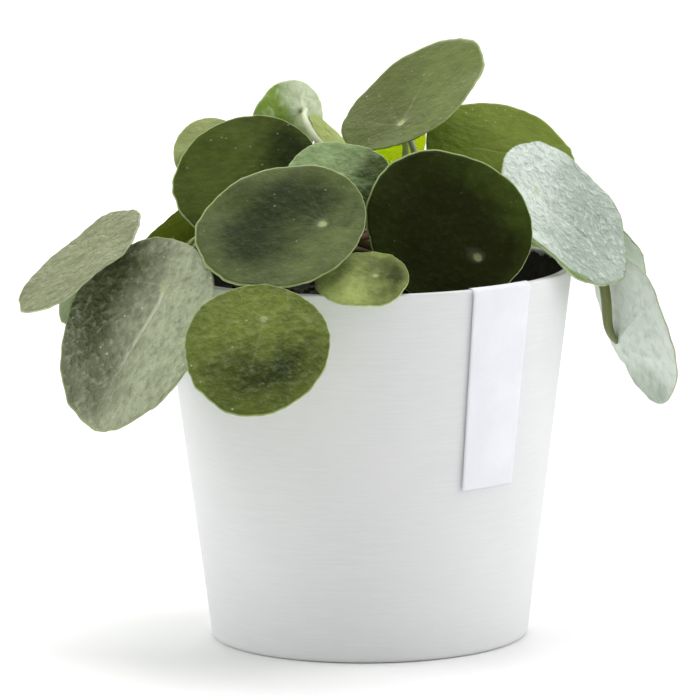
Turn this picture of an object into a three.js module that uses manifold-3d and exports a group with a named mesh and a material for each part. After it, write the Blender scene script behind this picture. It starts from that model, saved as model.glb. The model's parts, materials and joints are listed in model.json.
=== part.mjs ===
// A potted Chinese money plant: round, shield-like leaves on slender stalks that grow in a spiral
// round one short trunk, in a tapered pot with a strip of label tape hung over its rim.
// Millimetres, +Z up. The origin is the centre of the pot's underside, on the surface that it
// stands on. The side with the tape and the leaves that droop over the rim faces -Y.
import * as THREE from 'three';
import Module from 'manifold-3d';
import { mergeVertices } from 'three/addons/utils/BufferGeometryUtils.js';

const wasm = await Module();
wasm.setup();

// Pot: a thin-walled tapered cup
const potHeight = 136;
const potRimRadius = 75;
const potBaseRadius = 57.6;
const potBaseRounding = 2.4;
const potRoundSteps = 4;
const potLipEase = 0.8;
const potWall = 3;
const potFloor = 4;
const potSides = 72;

// The gap left between pieces that touch
const clearance = 0.3;

// Soil: fills the pot to just below the rim, a little higher round the trunk
const soilTop = 124;
const soilMound = 3;
const soilLumps = 1.2;
const soilEdgeDrop = 1.2;
const soilSideGap = 0.4;
const soilRings = 6;
const soilSides = 40;

// Trunk: the short woody stem that carries every stalk
const trunkFoot = [9, 6];
const trunkLean = [0.06, -0.04];
const trunkBuried = 26;
const trunkTop = 168;
const trunkRadius = 6.4;
const trunkTipRadius = 4.2;
const trunkTipEase = 1.5;
const trunkSides = 12;
const trunkHoleSides = 24;
const scarHeight = 0.7;
const scarPitch = 5.2;
const scarShare = 0.6;

// Blades
const bladeThickness = 0.9;
const bladeSpokes = 24;
const bladeRings = 3;
const bladeTaper = 0.08;
const troughFlat = 4;
const troughSlope = 0.1;
const waveSmall = 0.6;

// Stalks: round, rising a little from the bark before they spread
const stalkRadius = 1.3;
const stalkSides = 6;
const stalkSteps = 10;
const stalkNeck = 7;
const stalkRoot = 0.8;
const shoulderOut = 6;
const shoulderUp = 4;
const overRim = 8;

// Label tape: bare, hung over the rim to the right of the front
const tapeDirection = -49.6;
const tapeWidth = 27;
const tapeThickness = 0.6;
const tapeOutside = 72.5;
const tapeInside = 8;
const tapeAcross = 6;
const tapeRows = { outside: 12, turn: 8, inside: 2 };

// Where each blade is and how it grew. hub is the point where the stalk meets the blade. faces
// is the compass direction that the upper face leans towards, and tilt how far it leans from
// level. turn swings the tip round from straight downhill. share is the part of the length that
// lies behind the hub. dome drops the edges below the hub, trough lifts both sides of the
// midrib, droop bends the tip down, and wave lifts and drops the edge. from is the height on
// the trunk where the stalk leaves it, by lists points that the stalk passes, and neck is how
// far from the blade it turns in to the hub, where that isn't the usual distance.
const leaves = [
  { hub: [-92, -16, 149.5], faces: -162, tilt: 39, turn: -8, length: 56, width: 56, share: 0.24,
    dome: -0.5, trough: 0, droop: 0, wave: 1.5, from: 136 },
  { hub: [-95.5, 4, 138], faces: -150, tilt: 50, turn: 0, length: 38, width: 35, share: 0.28,
    dome: 2, trough: 0, droop: 1, wave: 1, from: 131, by: [[-74, 3, 141.5]] },
  { hub: [-71.3, -48, 136], faces: -132, tilt: 62, turn: -17, length: 74, width: 67, share: 0.23,
    dome: 1, trough: 1.2, droop: 1, wave: 1.5, from: 138,
    by: [[-40, -31, 145], [-59, -36, 154], [-65, -38.5, 151]] },
  { hub: [-36, -86, 130.3], faces: -94, tilt: 49, turn: -10, length: 53, width: 51, share: 0.25,
    dome: 2, trough: 0, droop: 0, wave: 1, from: 131, by: [[-16, -54, 139], [-33, -68.5, 139]] },
  { hub: [-14.5, -52, 158.3], faces: -108, tilt: 36, turn: -79, length: 62, width: 63, share: 0.24,
    dome: -1.5, trough: 0, droop: 0, wave: 1, from: 143 },
  { hub: [-31, -4, 174.5], faces: -99, tilt: 44, turn: -57, length: 55, width: 57, share: 0.26,
    dome: 2, trough: 0, droop: 0, wave: 1, from: 152 },
  { hub: [-54, 20, 180], faces: -96, tilt: 51, turn: -45, length: 26, width: 24, share: 0.3,
    dome: 2, trough: 0, droop: 0, wave: 0.8, from: 148 },
  { hub: [-23.5, 49, 187], faces: 128, tilt: 94, turn: 60, length: 37, width: 28.5, share: 0.25,
    dome: 2, trough: 0.6, droop: 0, wave: 1, from: 160, neck: 3,
    by: [[-16.7, 16, 178.6], [-22, 27, 186]] },
  { hub: [-14, 39.4, 179.4], faces: -8, tilt: 47, turn: 0, length: 30, width: 30, share: 0.3,
    dome: 1, trough: 0, droop: 0, wave: 0.6, from: 156 },
  { hub: [-9, -18, 171.8], faces: -85, tilt: 42, turn: -6, length: 42, width: 39, share: 0.36,
    dome: 2, trough: 1, droop: 0, wave: 1, from: 158 },
  { hub: [13, 8, 186], faces: -147, tilt: 36, turn: -155, length: 60, width: 60, share: 0.24,
    dome: -3, trough: 0, droop: 0, wave: 1, from: 158.5 },
  { hub: [14.3, 39, 176.8], faces: 95, tilt: 68, turn: 90, length: 28, width: 26, share: 0.29,
    dome: 1, trough: 0, droop: 0, wave: 0.8, from: 156 },
  { hub: [39.8, 22, 175.5], faces: -72, tilt: 35, turn: 72, length: 56, width: 55, share: 0.32,
    dome: 2, trough: 0, droop: 0, wave: 1, from: 148 },
  { hub: [61.3, -6, 163.7], faces: -31, tilt: 51, turn: 22, length: 62, width: 67, share: 0.27,
    dome: -1.5, trough: 0.5, droop: 1, wave: 1.5, from: 150 },
  { hub: [40.3, -46.3, 144.2], faces: -84, tilt: 58, turn: -143, length: 62, width: 58, share: 0.22,
    dome: 2, trough: 0, droop: 0, wave: 1, from: 134 },
  { hub: [3.5, -68, 142], faces: -90, tilt: 28, turn: -90, length: 33, width: 32, share: 0.35,
    dome: 3, trough: 0, droop: 0, wave: 0.6, from: 133 },
  { hub: [92.4, 36.5, 101.2], faces: 22, tilt: 74, turn: -118, length: 56, width: 62.5,
    share: 0.12, dome: -2, trough: 0, droop: 0, wave: 1, from: 132, neck: 3.5,
    by: [[73, 16, 143.5], [81, 18, 141], [87.4, 20, 124.5]] },
  { hub: [92.2, 30.6, 140], faces: 31, tilt: 59, turn: 0, length: 26, width: 26, share: 0.3,
    dome: 1, trough: 0, droop: 0, wave: 0.6, from: 138, neck: 4, by: [[69, 28, 147]] },
  { hub: [-57, 25, 155], faces: -160, tilt: 30, turn: 0, length: 43, width: 39, share: 0.3,
    dome: 2, trough: 0, droop: 0, wave: 1, from: 140 },
  { hub: [55, 60, 146], faces: 52, tilt: 44, turn: 8, length: 50, width: 48, share: 0.27,
    dome: 2, trough: 0, droop: 1, wave: 1.2, from: 131 },
  { hub: [14, 86, 137], faces: 86, tilt: 56, turn: -12, length: 58, width: 54, share: 0.25,
    dome: 2, trough: 0.5, droop: 1, wave: 1.2, from: 133 },
  { hub: [-26, 70, 151], faces: 106, tilt: 44, turn: 10, length: 48, width: 46, share: 0.27,
    dome: 2, trough: 0, droop: 1, wave: 1, from: 140 },
  { hub: [-68, 64, 130.5], faces: 138, tilt: 60, turn: -8, length: 50, width: 46, share: 0.26,
    dome: 2, trough: 0.5, droop: 1, wave: 1.2, from: 131 },
  { hub: [-87, 30, 128], faces: 168, tilt: 62, turn: 0, length: 46, width: 44, share: 0.27,
    dome: 2, trough: 0, droop: 1, wave: 1, from: 133 },
  { hub: [26, 50, 164.5], faces: 74, tilt: 40, turn: 15, length: 38, width: 37, share: 0.28,
    dome: 2, trough: 0, droop: 1, wave: 1, from: 148 },
  { hub: [-48, 48, 165], faces: 140, tilt: 38, turn: -15, length: 38, width: 36, share: 0.28,
    dome: 2, trough: 0, droop: 1, wave: 1, from: 150 },
  { hub: [57, 27, 162], faces: 10, tilt: 32, turn: 20, length: 33, width: 31, share: 0.3,
    dome: 2, trough: 0, droop: 1, wave: 1, from: 144 },
];

// The solid of a closed geometry, for cutting and joining
function solidOf(geometry) {
  const plain = geometry.clone();
  plain.deleteAttribute('normal');
  plain.deleteAttribute('uv');
  const merged = mergeVertices(plain, 1e-4);
  const triVerts = [];
  for (let i = 0; i < merged.index.count; i += 3) {
    const corner = [merged.index.getX(i), merged.index.getX(i + 1), merged.index.getX(i + 2)];
    if (new Set(corner).size === 3) triVerts.push(...corner);
  }
  return new wasm.Manifold(new wasm.Mesh({
    numProp: 3,
    vertProperties: new Float32Array(merged.attributes.position.array),
    triVerts: new Uint32Array(triVerts),
  }));
}

// The geometry of a solid, with its shared vertices
function geometryOf(solid) {
  const mesh = solid.getMesh();
  const geometry = new THREE.BufferGeometry();
  geometry.setAttribute('position', new THREE.BufferAttribute(mesh.vertProperties, 3));
  geometry.setIndex(new THREE.BufferAttribute(mesh.triVerts, 1));
  return geometry;
}

// A closed plate: both faces of an open sheet, split into the same triangles, and the rim
// between them. The sheet is the middle of the plate, and each face lies half the thickness
// away from it along its own normals.
function plateOf(sheet, thickness) {
  const plain = sheet.clone();
  plain.deleteAttribute('normal');
  plain.deleteAttribute('uv');
  const middle = mergeVertices(plain, 1e-4);
  const triangles = [];
  for (let i = 0; i < middle.index.count; i += 3) {
    const corner = [middle.index.getX(i), middle.index.getX(i + 1), middle.index.getX(i + 2)];
    if (new Set(corner).size === 3) triangles.push(corner);
  }
  middle.setIndex(triangles.flat());
  middle.computeVertexNormals();
  const count = middle.attributes.position.count;
  const points = [];
  const point = new THREE.Vector3();
  const normal = new THREE.Vector3();
  for (const side of [0.5, -0.5]) {
    for (let i = 0; i < count; i += 1) {
      point.fromBufferAttribute(middle.attributes.position, i);
      normal.fromBufferAttribute(middle.attributes.normal, i);
      point.addScaledVector(normal, side * thickness);
      points.push(point.x, point.y, point.z);
    }
  }
  const edges = new Set(triangles.flatMap(([a, b, c]) => [`${a} ${b}`, `${b} ${c}`, `${c} ${a}`]));
  const index = triangles.flatMap(([a, b, c]) => [a, b, c, a + count, c + count, b + count]);
  for (const edge of edges) {
    const [a, b] = edge.split(' ').map(Number);
    if (!edges.has(`${b} ${a}`)) index.push(b, a, a + count, b, a + count, b + count);
  }
  const plate = new THREE.BufferGeometry();
  plate.setAttribute('position', new THREE.Float32BufferAttribute(points, 3));
  plate.setIndex(index);
  return plate;
}

function meshOf(name, geometry, colour, roughness, metalness = 0) {
  const material = new THREE.MeshStandardMaterial({ color: colour, roughness, metalness });
  const mesh = new THREE.Mesh(geometry, material);
  mesh.name = name;
  return mesh;
}

// Radius of the pot's outer wall at a height
function potRadiusAt(z) {
  return potBaseRadius + (potRimRadius - potBaseRadius) * (z / potHeight);
}

// The middle of the trunk at a height: it leans a little once it is out of the soil
function trunkAt(z) {
  const rise = Math.max(0, z - soilTop - soilMound);
  return new THREE.Vector3(trunkFoot[0] + trunkLean[0] * rise, trunkFoot[1] + trunkLean[1] * rise, z);
}

function trunkRadiusAt(z) {
  const share = Math.max(0, (z - soilTop) / (trunkTop - soilTop));
  return trunkRadius + (trunkTipRadius - trunkRadius) * share;
}

function latheUp(points, sides) {
  const geometry = new THREE.LatheGeometry(points, sides);
  geometry.rotateX(Math.PI / 2);
  return geometry;
}

// The pot: a flat underside with a rounded edge, a tapered wall and a lip with eased corners
function makePot() {
  const foot = potRadiusAt(potBaseRounding);
  const profile = [new THREE.Vector2(0, 0)];
  for (let i = 0; i <= potRoundSteps; i += 1) {
    const angle = ((i / potRoundSteps) * Math.PI) / 2;
    profile.push(new THREE.Vector2(
      foot - potBaseRounding * (1 - Math.sin(angle)),
      potBaseRounding * (1 - Math.cos(angle)),
    ));
  }
  profile.push(new THREE.Vector2(potRadiusAt(potHeight - potLipEase), potHeight - potLipEase));
  profile.push(new THREE.Vector2(potRimRadius - potLipEase, potHeight));
  profile.push(new THREE.Vector2(potRimRadius - potWall + potLipEase, potHeight));
  profile.push(new THREE.Vector2(potRimRadius - potWall, potHeight - potLipEase));
  profile.push(new THREE.Vector2(potRadiusAt(potFloor) - potWall, potFloor));
  profile.push(new THREE.Vector2(0, potFloor));
  return meshOf('pot', latheUp(profile, potSides), 0xd9dadb, 0.55);
}

// The soil: it fills the pot up to an uneven, slightly mounded top with a plain hole for the trunk
function makeSoil() {
  const side = potWall + soilSideGap;
  const foot = potFloor + clearance;
  const edge = potRadiusAt(soilTop) - side;
  const profile = [
    new THREE.Vector2(0, foot),
    new THREE.Vector2(potRadiusAt(foot) - side, foot),
    new THREE.Vector2(edge, soilTop - soilEdgeDrop),
  ];
  for (let i = soilRings; i >= 0; i -= 1) {
    const share = i / soilRings;
    const height = soilTop + soilMound * (1 - share * share);
    profile.push(new THREE.Vector2(share * (edge - soilEdgeDrop), height));
  }
  const geometry = latheUp(profile, soilSides);
  const position = geometry.attributes.position;
  for (let i = 0; i < position.count; i += 1) {
    const [x, y, z] = [position.getX(i), position.getY(i), position.getZ(i)];
    if (z >= soilTop) {
      const lump = Math.sin(x * 0.31 + 1.3) * Math.cos(y * 0.27) + 0.6 * Math.sin(x * 0.13 - y * 0.4);
      position.setZ(i, z + soilLumps * lump);
    }
  }
  const holeRadius = trunkRadius + clearance;
  const holeDepth = 2 * trunkBuried;
  const hole = new THREE.CylinderGeometry(holeRadius, holeRadius, holeDepth, trunkHoleSides);
  hole.rotateX(Math.PI / 2);
  hole.translate(trunkFoot[0], trunkFoot[1], soilTop - clearance);
  const solid = solidOf(geometry).subtract(solidOf(hole));
  return meshOf('soil', geometryOf(solid), 0x2b2119, 0.95);
}

// The trunk: a tapered stem with a low ring at each fallen stalk's scar and a domed tip
function makeTrunk() {
  const foot = soilTop - trunkBuried;
  const profile = [new THREE.Vector2(0, foot), new THREE.Vector2(trunkRadius, foot)];
  for (let z = soilTop + soilMound; z < trunkTop - scarPitch; z += scarPitch) {
    const waist = z + scarPitch * scarShare;
    profile.push(new THREE.Vector2(trunkRadiusAt(z), z));
    profile.push(new THREE.Vector2(trunkRadiusAt(waist) - scarHeight, waist));
  }
  profile.push(new THREE.Vector2(trunkTipRadius - trunkTipEase, trunkTop - trunkTipEase));
  profile.push(new THREE.Vector2(0, trunkTop));
  const geometry = latheUp(profile, trunkSides);
  const position = geometry.attributes.position;
  for (let i = 0; i < position.count; i += 1) {
    const middle = trunkAt(position.getZ(i));
    position.setX(i, position.getX(i) + middle.x);
    position.setY(i, position.getY(i) + middle.y);
  }
  return meshOf('trunk', geometry, 0x6b5a3c, 0.8);
}

// The blade as a sheet of rings round its hub, in its own frame: the tip towards +X, the upper
// face up. Each ring is the outline drawn smaller towards the hub.
function bladeSheet(leaf, order) {
  const sheet = new THREE.RingGeometry(0, 1, bladeSpokes, bladeRings);
  const position = sheet.attributes.position;
  const centre = leaf.length * (0.5 - leaf.share);
  for (let i = 0; i < position.count; i += 1) {
    const reach = Math.hypot(position.getX(i), position.getY(i));
    const angle = Math.atan2(position.getY(i), position.getX(i));
    const x = reach * (centre + (leaf.length / 2) * Math.cos(angle));
    const y = reach * (leaf.width / 2) * Math.sin(angle) * (1 - bladeTaper * Math.cos(angle));
    const out = (x * x + y * y) / ((1 - leaf.share) * leaf.length) ** 2;
    const side = Math.hypot(y, troughFlat) - troughFlat;
    const ahead = Math.max(0, x / leaf.length);
    const ripple = Math.sin(5 * angle + order * 1.7) + 0.5 * Math.sin(8 * angle - order);
    const rise = leaf.trough * troughSlope * side + leaf.wave * waveSmall * ripple * reach ** 3;
    position.setXYZ(i, x, y, rise - leaf.dome * out - leaf.droop * ahead * ahead);
  }
  return sheet;
}

// The blade in place: turned in its plane, tilted, swung round and carried to its hub
function placeBlade(leaf) {
  const place = new THREE.Matrix4().makeTranslation(...leaf.hub);
  place.multiply(new THREE.Matrix4().makeRotationZ(THREE.MathUtils.degToRad(leaf.faces)));
  place.multiply(new THREE.Matrix4().makeRotationY(THREE.MathUtils.degToRad(leaf.tilt)));
  place.multiply(new THREE.Matrix4().makeRotationZ(THREE.MathUtils.degToRad(leaf.turn)));
  return place;
}

function makeBlade(leaf, order) {
  const geometry = plateOf(bladeSheet(leaf, order), bladeThickness);
  const name = `leaf_${String(order + 1).padStart(2, '0')}`;
  const mesh = meshOf(name, geometry, 0x5f7a3a, 0.4);
  placeBlade(leaf).decompose(mesh.position, mesh.quaternion, mesh.scale);
  return mesh;
}

// The way points of a stalk. One whose blade hangs outside the pot climbs over the rim first.
function wayOf(leaf) {
  if (leaf.by) return leaf.by.map((point) => new THREE.Vector3(...point));
  const radius = Math.hypot(leaf.hub[0], leaf.hub[1]);
  if (radius < potRimRadius || leaf.hub[2] > potHeight + overRim) return [];
  const share = (potRimRadius - 1) / radius;
  return [new THREE.Vector3(leaf.hub[0] * share, leaf.hub[1] * share, potHeight + overRim)];
}

// The stalk: from the trunk's bark, past its way points, to the underside of the blade at the hub
function makeStalk(leaf, order) {
  const place = placeBlade(leaf);
  const down = new THREE.Vector3(0, 0, -1).transformDirection(place);
  const hub = new THREE.Vector3(...leaf.hub);
  const end = hub.clone().addScaledVector(down, bladeThickness / 2 + clearance);
  const neck = hub.clone().addScaledVector(down, leaf.neck ?? stalkNeck);
  const by = wayOf(leaf);
  const axis = trunkAt(leaf.from);
  const first = by[0] ?? neck;
  const out = new THREE.Vector3(first.x - axis.x, first.y - axis.y, 0).normalize();
  const start = axis.clone().addScaledVector(out, trunkRadiusAt(leaf.from) + stalkRoot);
  const shoulder = start.clone().addScaledVector(out, shoulderOut);
  shoulder.z += shoulderUp;
  const path = new THREE.CatmullRomCurve3([start, shoulder, ...by, neck, end]);
  const section = new THREE.Shape();
  for (let i = 0; i < stalkSides; i += 1) {
    const angle = (i / stalkSides) * 2 * Math.PI;
    const corner = [stalkRadius * Math.cos(angle), stalkRadius * Math.sin(angle)];
    if (i === 0) section.moveTo(...corner);
    else section.lineTo(...corner);
  }
  section.closePath();
  const geometry = new THREE.ExtrudeGeometry(section, { steps: stalkSteps, extrudePath: path });
  return meshOf(`stalk_${String(order + 1).padStart(2, '0')}`, geometry, 0x8a8a4a, 0.5);
}

// The tape: a strip curved with the pot that climbs its outside, turns over the lip and ends inside
function makeTape() {
  const lip = potWall / 2 + clearance + tapeThickness / 2;
  const lean = Math.atan((potRimRadius - potBaseRadius) / potHeight);
  const lipRadius = potRimRadius - potWall / 2;
  const lipHeight = potHeight - potWall / 2;
  const stations = [];
  for (let i = 0; i < tapeRows.outside; i += 1) {
    const below = tapeOutside * (1 - i / tapeRows.outside);
    stations.push([lipRadius + lip - below * Math.sin(lean), lipHeight - below * Math.cos(lean)]);
  }
  for (let i = 0; i <= tapeRows.turn; i += 1) {
    const angle = (Math.PI * i) / tapeRows.turn;
    stations.push([lipRadius + lip * Math.cos(angle), lipHeight + lip * Math.sin(angle)]);
  }
  for (let i = 1; i <= tapeRows.inside; i += 1) {
    const below = (tapeInside * i) / tapeRows.inside;
    stations.push([lipRadius - lip - below * Math.sin(lean), lipHeight - below * Math.cos(lean)]);
  }
  const sheet = new THREE.PlaneGeometry(1, 1, tapeAcross, stations.length - 1);
  const position = sheet.attributes.position;
  for (let i = 0; i < position.count; i += 1) {
    const row = Math.round((position.getY(i) + 0.5) * (stations.length - 1));
    const [out, z] = stations[row];
    const across = position.getX(i) * tapeWidth;
    const angle = THREE.MathUtils.degToRad(tapeDirection) + across / potRimRadius;
    position.setXYZ(i, out * Math.cos(angle), out * Math.sin(angle), z);
  }
  return meshOf('label_tape', plateOf(sheet, tapeThickness), 0xf2f4f6, 0.6);
}

const plant = new THREE.Group();
plant.add(makePot(), makeSoil(), makeTrunk(), makeTape());
leaves.forEach((leaf, order) => {
  plant.add(makeBlade(leaf, order), makeStalk(leaf, order));
});

export default plant;
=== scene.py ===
import json
import math
import random
from bisect import bisect_left
from collections import namedtuple

import bmesh
import bpy
from mathutils import Matrix, Vector, noise


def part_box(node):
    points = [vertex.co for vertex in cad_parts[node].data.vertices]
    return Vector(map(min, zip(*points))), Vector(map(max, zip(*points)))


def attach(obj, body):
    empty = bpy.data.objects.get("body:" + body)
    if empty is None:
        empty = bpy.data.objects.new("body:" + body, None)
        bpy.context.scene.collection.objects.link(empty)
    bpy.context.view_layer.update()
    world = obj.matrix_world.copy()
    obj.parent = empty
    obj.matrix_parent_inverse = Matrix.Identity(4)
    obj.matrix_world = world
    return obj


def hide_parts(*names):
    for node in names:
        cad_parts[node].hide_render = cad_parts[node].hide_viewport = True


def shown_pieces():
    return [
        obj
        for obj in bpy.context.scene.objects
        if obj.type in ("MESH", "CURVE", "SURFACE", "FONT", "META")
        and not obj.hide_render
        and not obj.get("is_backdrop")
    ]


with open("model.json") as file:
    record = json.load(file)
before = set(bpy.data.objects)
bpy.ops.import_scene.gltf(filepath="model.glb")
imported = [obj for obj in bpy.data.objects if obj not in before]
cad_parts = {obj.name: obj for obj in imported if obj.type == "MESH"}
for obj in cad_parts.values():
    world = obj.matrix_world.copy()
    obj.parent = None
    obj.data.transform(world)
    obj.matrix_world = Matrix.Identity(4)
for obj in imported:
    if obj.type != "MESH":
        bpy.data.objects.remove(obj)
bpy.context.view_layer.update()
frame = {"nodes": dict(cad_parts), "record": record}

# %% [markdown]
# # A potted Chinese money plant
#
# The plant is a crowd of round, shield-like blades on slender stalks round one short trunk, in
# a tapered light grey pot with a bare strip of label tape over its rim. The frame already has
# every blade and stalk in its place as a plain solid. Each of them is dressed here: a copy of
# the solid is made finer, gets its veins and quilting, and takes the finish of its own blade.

nodes = frame["nodes"]
mm = 0.001
leaf_numbers = sorted(int(name[5:]) for name in nodes if name.startswith("leaf_"))
print("blades in the frame:", len(leaf_numbers))

# %% [markdown]
# ## Small helpers for meshes
#
# A solid in the frame is a set of loose triangles that must stay as they are, so every piece
# starts from a copy whose doubles are merged. Subdivision surface gives a copy its smooth
# curves. It could stay as a live modifier, but the veins have to be pushed into the fine mesh,
# so its result is taken back into the bmesh at once.


# %% A joined copy of a solid, and a finer one
weld_distance = 0.01 * mm


def joined_copy(name):
    """A bmesh of one of the frame's solids, with its loose triangles joined."""
    copy = bmesh.new()
    copy.from_mesh(nodes[name].data)
    bmesh.ops.remove_doubles(copy, verts=copy.verts, dist=weld_distance)
    copy.normal_update()
    return copy


def join_pairs(shape):
    """Joins triangles in pairs, so that the subdivision runs in even rows."""
    bmesh.ops.join_triangles(
        shape, faces=shape.faces, angle_face_threshold=0.8, angle_shape_threshold=1.2)


def make_finer(coarse, levels):
    """The same bmesh after that many levels of subdivision surface."""
    mesh = bpy.data.meshes.new("working")
    coarse.to_mesh(mesh)
    coarse.free()
    holder = bpy.data.objects.new("working", mesh)
    bpy.context.collection.objects.link(holder)
    divide = holder.modifiers.new("divide", "SUBSURF")
    divide.levels = divide.render_levels = levels
    graph = bpy.context.evaluated_depsgraph_get()
    divided = bpy.data.meshes.new_from_object(holder.evaluated_get(graph))
    fine = bmesh.new()
    fine.from_mesh(divided)
    bpy.data.objects.remove(holder)
    bpy.data.meshes.remove(mesh)
    bpy.data.meshes.remove(divided)
    return fine


print("points closer than", round(weld_distance / mm, 2), "mm are joined")


# %% A flat map, a finished piece, and a soft step
def write_map(shape, name, pairs):
    """Stores a flat map on the shape, from a pair of coordinates for each of its points."""
    layer = shape.loops.layers.uv.new(name)
    for face in shape.faces:
        for loop in face.loops:
            loop[layer].uv = pairs[loop.vert.index]


def finish_piece(shape, name, materials, stands_for=()):
    """A smooth-shaded object of the bmesh, tied to the frame."""
    mesh = bpy.data.meshes.new(name)
    shape.normal_update()
    shape.to_mesh(mesh)
    shape.free()
    mesh.polygons.foreach_set("use_smooth", [True] * len(mesh.polygons))
    for material in materials:
        mesh.materials.append(material)
    piece = bpy.data.objects.new(name, mesh)
    bpy.context.collection.objects.link(piece)
    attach(piece, "root")
    if stands_for:
        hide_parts(*stands_for)
    return piece


def ease(value, start, end):
    """0 before start, 1 after end, and a soft step between them."""
    share = min(1.0, max(0.0, (value - start) / (end - start)))
    return share * share * (3.0 - 2.0 * share)


# %% [markdown]
# ## Small helpers for finishes
#
# Pictures could be painted for the blades and the pot, but they would need files and flat maps
# without seams. Every finish here is a tree of nodes instead, which reads Object coordinates or
# the piece's own map, so nothing slides when the camera moves. The helper keeps the wiring of
# the nodes short enough to read.


# %% A finish with short ways to add nodes
class Finish:
    """A material, and short ways to add and join its nodes."""

    def __init__(self, name, roughness=0.5):
        self.material = bpy.data.materials.new(name)
        self.material.use_nodes = True
        self.tree = self.material.node_tree
        self.shader = self.tree.nodes["Principled BSDF"]
        self.shader.inputs["Roughness"].default_value = roughness
        self.place = self.add("ShaderNodeTexCoord").outputs["Object"]

    def add(self, kind, **settings):
        """A new node with these settings."""
        node = self.tree.nodes.new(kind)
        for key, value in settings.items():
            setattr(node, key, value)
        return node

    def feed(self, socket, source):
        """Joins a socket to another, or sets its value."""
        if isinstance(source, bpy.types.NodeSocket):
            self.tree.links.new(source, socket)
        else:
            socket.default_value = source

    def calc(self, operation, *values):
        """One step of arithmetic."""
        node = self.add("ShaderNodeMath", operation=operation)
        for socket, value in zip(node.inputs, values):
            self.feed(socket, value)
        return node.outputs[0]

    def parts(self, place):
        """The three coordinates of a place."""
        node = self.add("ShaderNodeSeparateXYZ")
        self.feed(node.inputs[0], place)
        return node.outputs

    def moved(self, place, location=(0, 0, 0), scale=(1, 1, 1)):
        """A place shifted and stretched, to centre or squeeze a pattern."""
        node = self.add("ShaderNodeMapping")
        self.feed(node.inputs["Vector"], place)
        node.inputs["Location"].default_value = location
        node.inputs["Scale"].default_value = scale
        return node.outputs[0]

    def noise(self, place, scale, detail=3.0, distortion=0.0):
        """Soft clouds from 0 to 1."""
        node = self.add("ShaderNodeTexNoise")
        self.feed(node.inputs["Vector"], place)
        node.inputs["Scale"].default_value = scale
        node.inputs["Detail"].default_value = detail
        node.inputs["Distortion"].default_value = distortion
        return node.outputs[0]

    def grains(self, place, scale, share, edge, core, high=1.0):
        """Small round spots, on a share of the cells that the space is split into."""
        node = self.add("ShaderNodeTexVoronoi", feature="F1")
        self.feed(node.inputs["Vector"], place)
        node.inputs["Scale"].default_value = scale
        chosen = self.calc("GREATER_THAN", node.outputs["Color"], 1 - share)
        spot = self.span(node.outputs["Distance"], edge, core, 0.0, high)
        return self.calc("MULTIPLY", spot, chosen)

    def span(self, value, start, end, low=0.0, high=1.0):
        """A soft step from low to high, while the value goes from start to end."""
        node = self.add("ShaderNodeMapRange", interpolation_type="SMOOTHSTEP")
        for socket, given in zip(node.inputs, (value, start, end, low, high)):
            self.feed(socket, given)
        return node.outputs[0]

    def blend(self, share, first, second):
        """The first colour, with a share of the second one over it."""
        node = self.add("ShaderNodeMix", data_type="RGBA")
        self.feed(node.inputs[0], share)
        self.feed(node.inputs[6], first)
        self.feed(node.inputs[7], second)
        return node.outputs[2]

    def bump(self, height, distance, strength=1.0, under=None):
        """Fine relief that is too small for the mesh, over another one if there is one."""
        node = self.add("ShaderNodeBump")
        node.inputs["Distance"].default_value = distance
        node.inputs["Strength"].default_value = strength
        self.feed(node.inputs["Height"], height)
        if under is not None:
            self.feed(node.inputs["Normal"], under)
        return node.outputs[0]

    def done(self, colour, normal=None, roughness=None):
        """The material, once its shader has its colour, its relief and its roughness."""
        self.feed(self.shader.inputs["Base Color"], colour)
        if normal is not None:
            self.feed(self.shader.inputs["Normal"], normal)
        if roughness is not None:
            self.feed(self.shader.inputs["Roughness"], roughness)
        return self.material


def paint(red, green, blue):
    """A colour as it looks on a screen, 0 to 255, turned into the shader's own values."""
    parts = [part / 255 for part in (red, green, blue)]
    linear = [part / 12.92 if part < 0.04 else ((part + 0.055) / 1.055) ** 2.4 for part in parts]
    return (*linear, 1.0)


def mixed(first, second, share):
    """A colour between two."""
    return tuple(a + (b - a) * share for a, b in zip(first, second))


black, ivory, cream = (0, 0, 0, 1), (1, 1, 0.9, 1), (1, 1, 0.85, 1)
print("mid grey for the shader:", [round(part, 3) for part in paint(128, 128, 128)[:3]])


# %% [markdown]
# ## The blades' shape
#
# A blade of this plant is a thick round shield that hangs on its stalk by a point inside its
# outline, the hub. A handful of main veins run out from the hub and bend towards the tip, and
# the flesh swells a little between them. The hub is found in the solid as the point where all
# its spokes meet. Only the upper face is kept, made fine, and given its relief in the blade's
# own flat coordinates. A displacement texture could do this too, but the veins must also be
# known to the finish, so both follow the same few numbers. The Solidify modifier then gives the
# face its thickness, with the underside and the rim as materials of their own.

# %% Where a blade's veins run
vein_pairs = 4.5
vein_bend = 0.35


def vein_turn(reach, angle):
    """How far round the hub a point lies, counted along the bent veins."""
    return abs(angle) + vein_bend * reach * math.sin(abs(angle))


print("veins leave the hub every", round(180 / vein_pairs), "degrees")

# %% The relief of a blade
# Heights, depths and sizes are in millimetres, and widths are a share of the blade's reach.
groove_depth, groove_width = 0.05, 0.025
fold_width, least_fold = 0.06, 0.15
quilt_height = 0.27
wave_height, wave_size = 0.7, 17
# A bubble has a height, a size and a seed.
bubbles = ((0.3, 4.2, 9), (0.2, 1.9, 5))
# A wave of the margin has a height, a pace, a seed, and a power that keeps it near the edge.
margin_waves = ((0.5, 3, 3, 4), (0.3, 9, 6, 8))


def noise_at(x, y, size, seed):
    """Noise over the blade, with swellings of about this size."""
    return noise.noise(Vector((x / size, y / size, seed)))


def round_the_edge(angle, pace, seed):
    """Noise that runs round the outline and closes on itself."""
    return noise.noise(Vector((math.cos(angle) * pace, math.sin(angle) * pace, seed)))


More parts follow.
